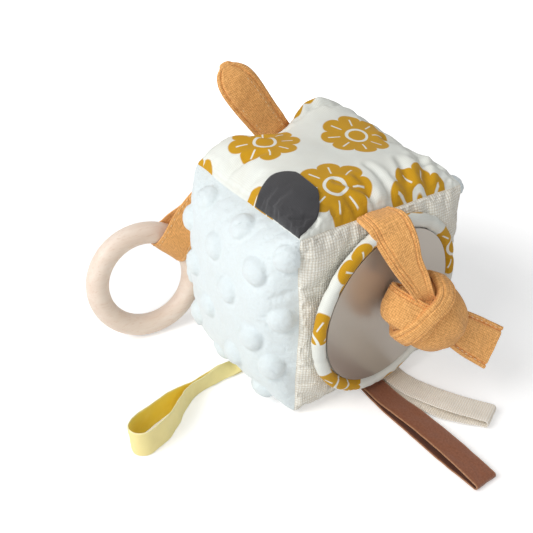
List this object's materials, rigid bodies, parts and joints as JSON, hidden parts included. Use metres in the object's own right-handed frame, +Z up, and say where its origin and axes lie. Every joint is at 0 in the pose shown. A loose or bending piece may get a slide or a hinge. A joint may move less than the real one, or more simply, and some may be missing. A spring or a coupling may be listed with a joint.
{
  "type": "soft activity block",
  "caption": "Stuffed fabric activity block with a bound round mirror, a wooden ring in a strap loop, a knotted strap, a strap tab and ribbon loops.",
  "frame": {"origin": "middle of the flat underside that the block stands on", "axes": "+Z up, the mirror faces -Y, the plush face with the ribbon loop faces -X"},
  "size_m": [0.1942, 0.2018, 0.1584],
  "materials": {
    "fill": "matte",
    "wadding": "matte",
    "printed_cotton": "matte",
    "dimple_plush": "matte",
    "canvas": "matte",
    "label": "matte",
    "mirror_sheet": "polished",
    "orange_cotton": "matte",
    "beech": "satin",
    "yellow_ribbon": "satin",
    "brown_satin": "satin",
    "cream_grosgrain": "matte"
  },
  "bodies": {
    "block": {"fill_core": "fill", "top_panel": "printed_cotton", "bottom_panel": "canvas", "front_panel": "canvas", "back_panel": "canvas", "left_panel": "dimple_plush", "right_panel": "dimple_plush", "label_patch": "label", "mirror_disc": "mirror_sheet", "mirror_backing": "wadding", "mirror_binding": "printed_cotton"},
    "top_tab": {"top_tab": "orange_cotton"},
    "knot_strap": {"knot_strap": "orange_cotton", "knot": "orange_cotton"},
    "knot_tail": {"knot_tail": "orange_cotton"},
    "ring_strap": {"ring_strap": "orange_cotton"},
    "wooden_ring": {"wooden_ring": "beech"},
    "yellow_ribbon": {"yellow_ribbon": "yellow_ribbon"},
    "brown_ribbon": {"brown_ribbon": "brown_satin"},
    "cream_ribbon": {"cream_ribbon": "cream_grosgrain"}
  },
  "joints": [
    {"name": "top_tab_fold", "type": "hinge", "parent": "block", "child": "top_tab", "pos_m": [0.00193, 0.04706, 0.10944], "axis": [0.948, 0.0991, 0.3024], "range_deg": [-110, 18], "stiffness_Nm_per_rad": 0.01},
    {"name": "knot_strap_lift", "type": "hinge", "parent": "block", "child": "knot_strap", "pos_m": [-0.009, -0.04474, 0.10274], "axis": [-1, 0, 0], "range_deg": [0, 72]},
    {"name": "knot_tail_bend", "type": "hinge", "parent": "knot_strap", "child": "knot_tail", "pos_m": [0.02262, -0.07939, 0.04606], "axis": [-0.6621, -0.1938, -0.7239], "range_deg": [-40, 40], "stiffness_Nm_per_rad": 0.004},
    {"name": "ring_strap_swing", "type": "hinge", "parent": "block", "child": "ring_strap", "pos_m": [-0.05056, 0.04555, 0.07104], "axis": [0, 0, 1], "range_deg": [-15, 45]},
    {"name": "wooden_ring_tilt", "type": "hinge", "parent": "ring_strap", "child": "wooden_ring", "pos_m": [-0.05747, 0.06309, 0.05389], "axis": [0.6952, -0.1405, -0.705], "range_deg": [-12, 24]},
    {"name": "yellow_ribbon_lift", "type": "hinge", "parent": "block", "child": "yellow_ribbon", "pos_m": [-0.05011, 0.0013, 0.00239], "axis": [0, 1, 0], "range_deg": [0, 21]},
    {"name": "brown_ribbon_lift", "type": "hinge", "parent": "block", "child": "brown_ribbon", "pos_m": [-0.00299, -0.04511, 0.00239], "axis": [-1, 0, 0], "range_deg": [0, 9]},
    {"name": "cream_ribbon_lift", "type": "hinge", "parent": "block", "child": "cream_ribbon", "pos_m": [0.01152, -0.04518, 0.00233], "axis": [-1, 0, 0], "range_deg": [0, 14]}
  ]
}
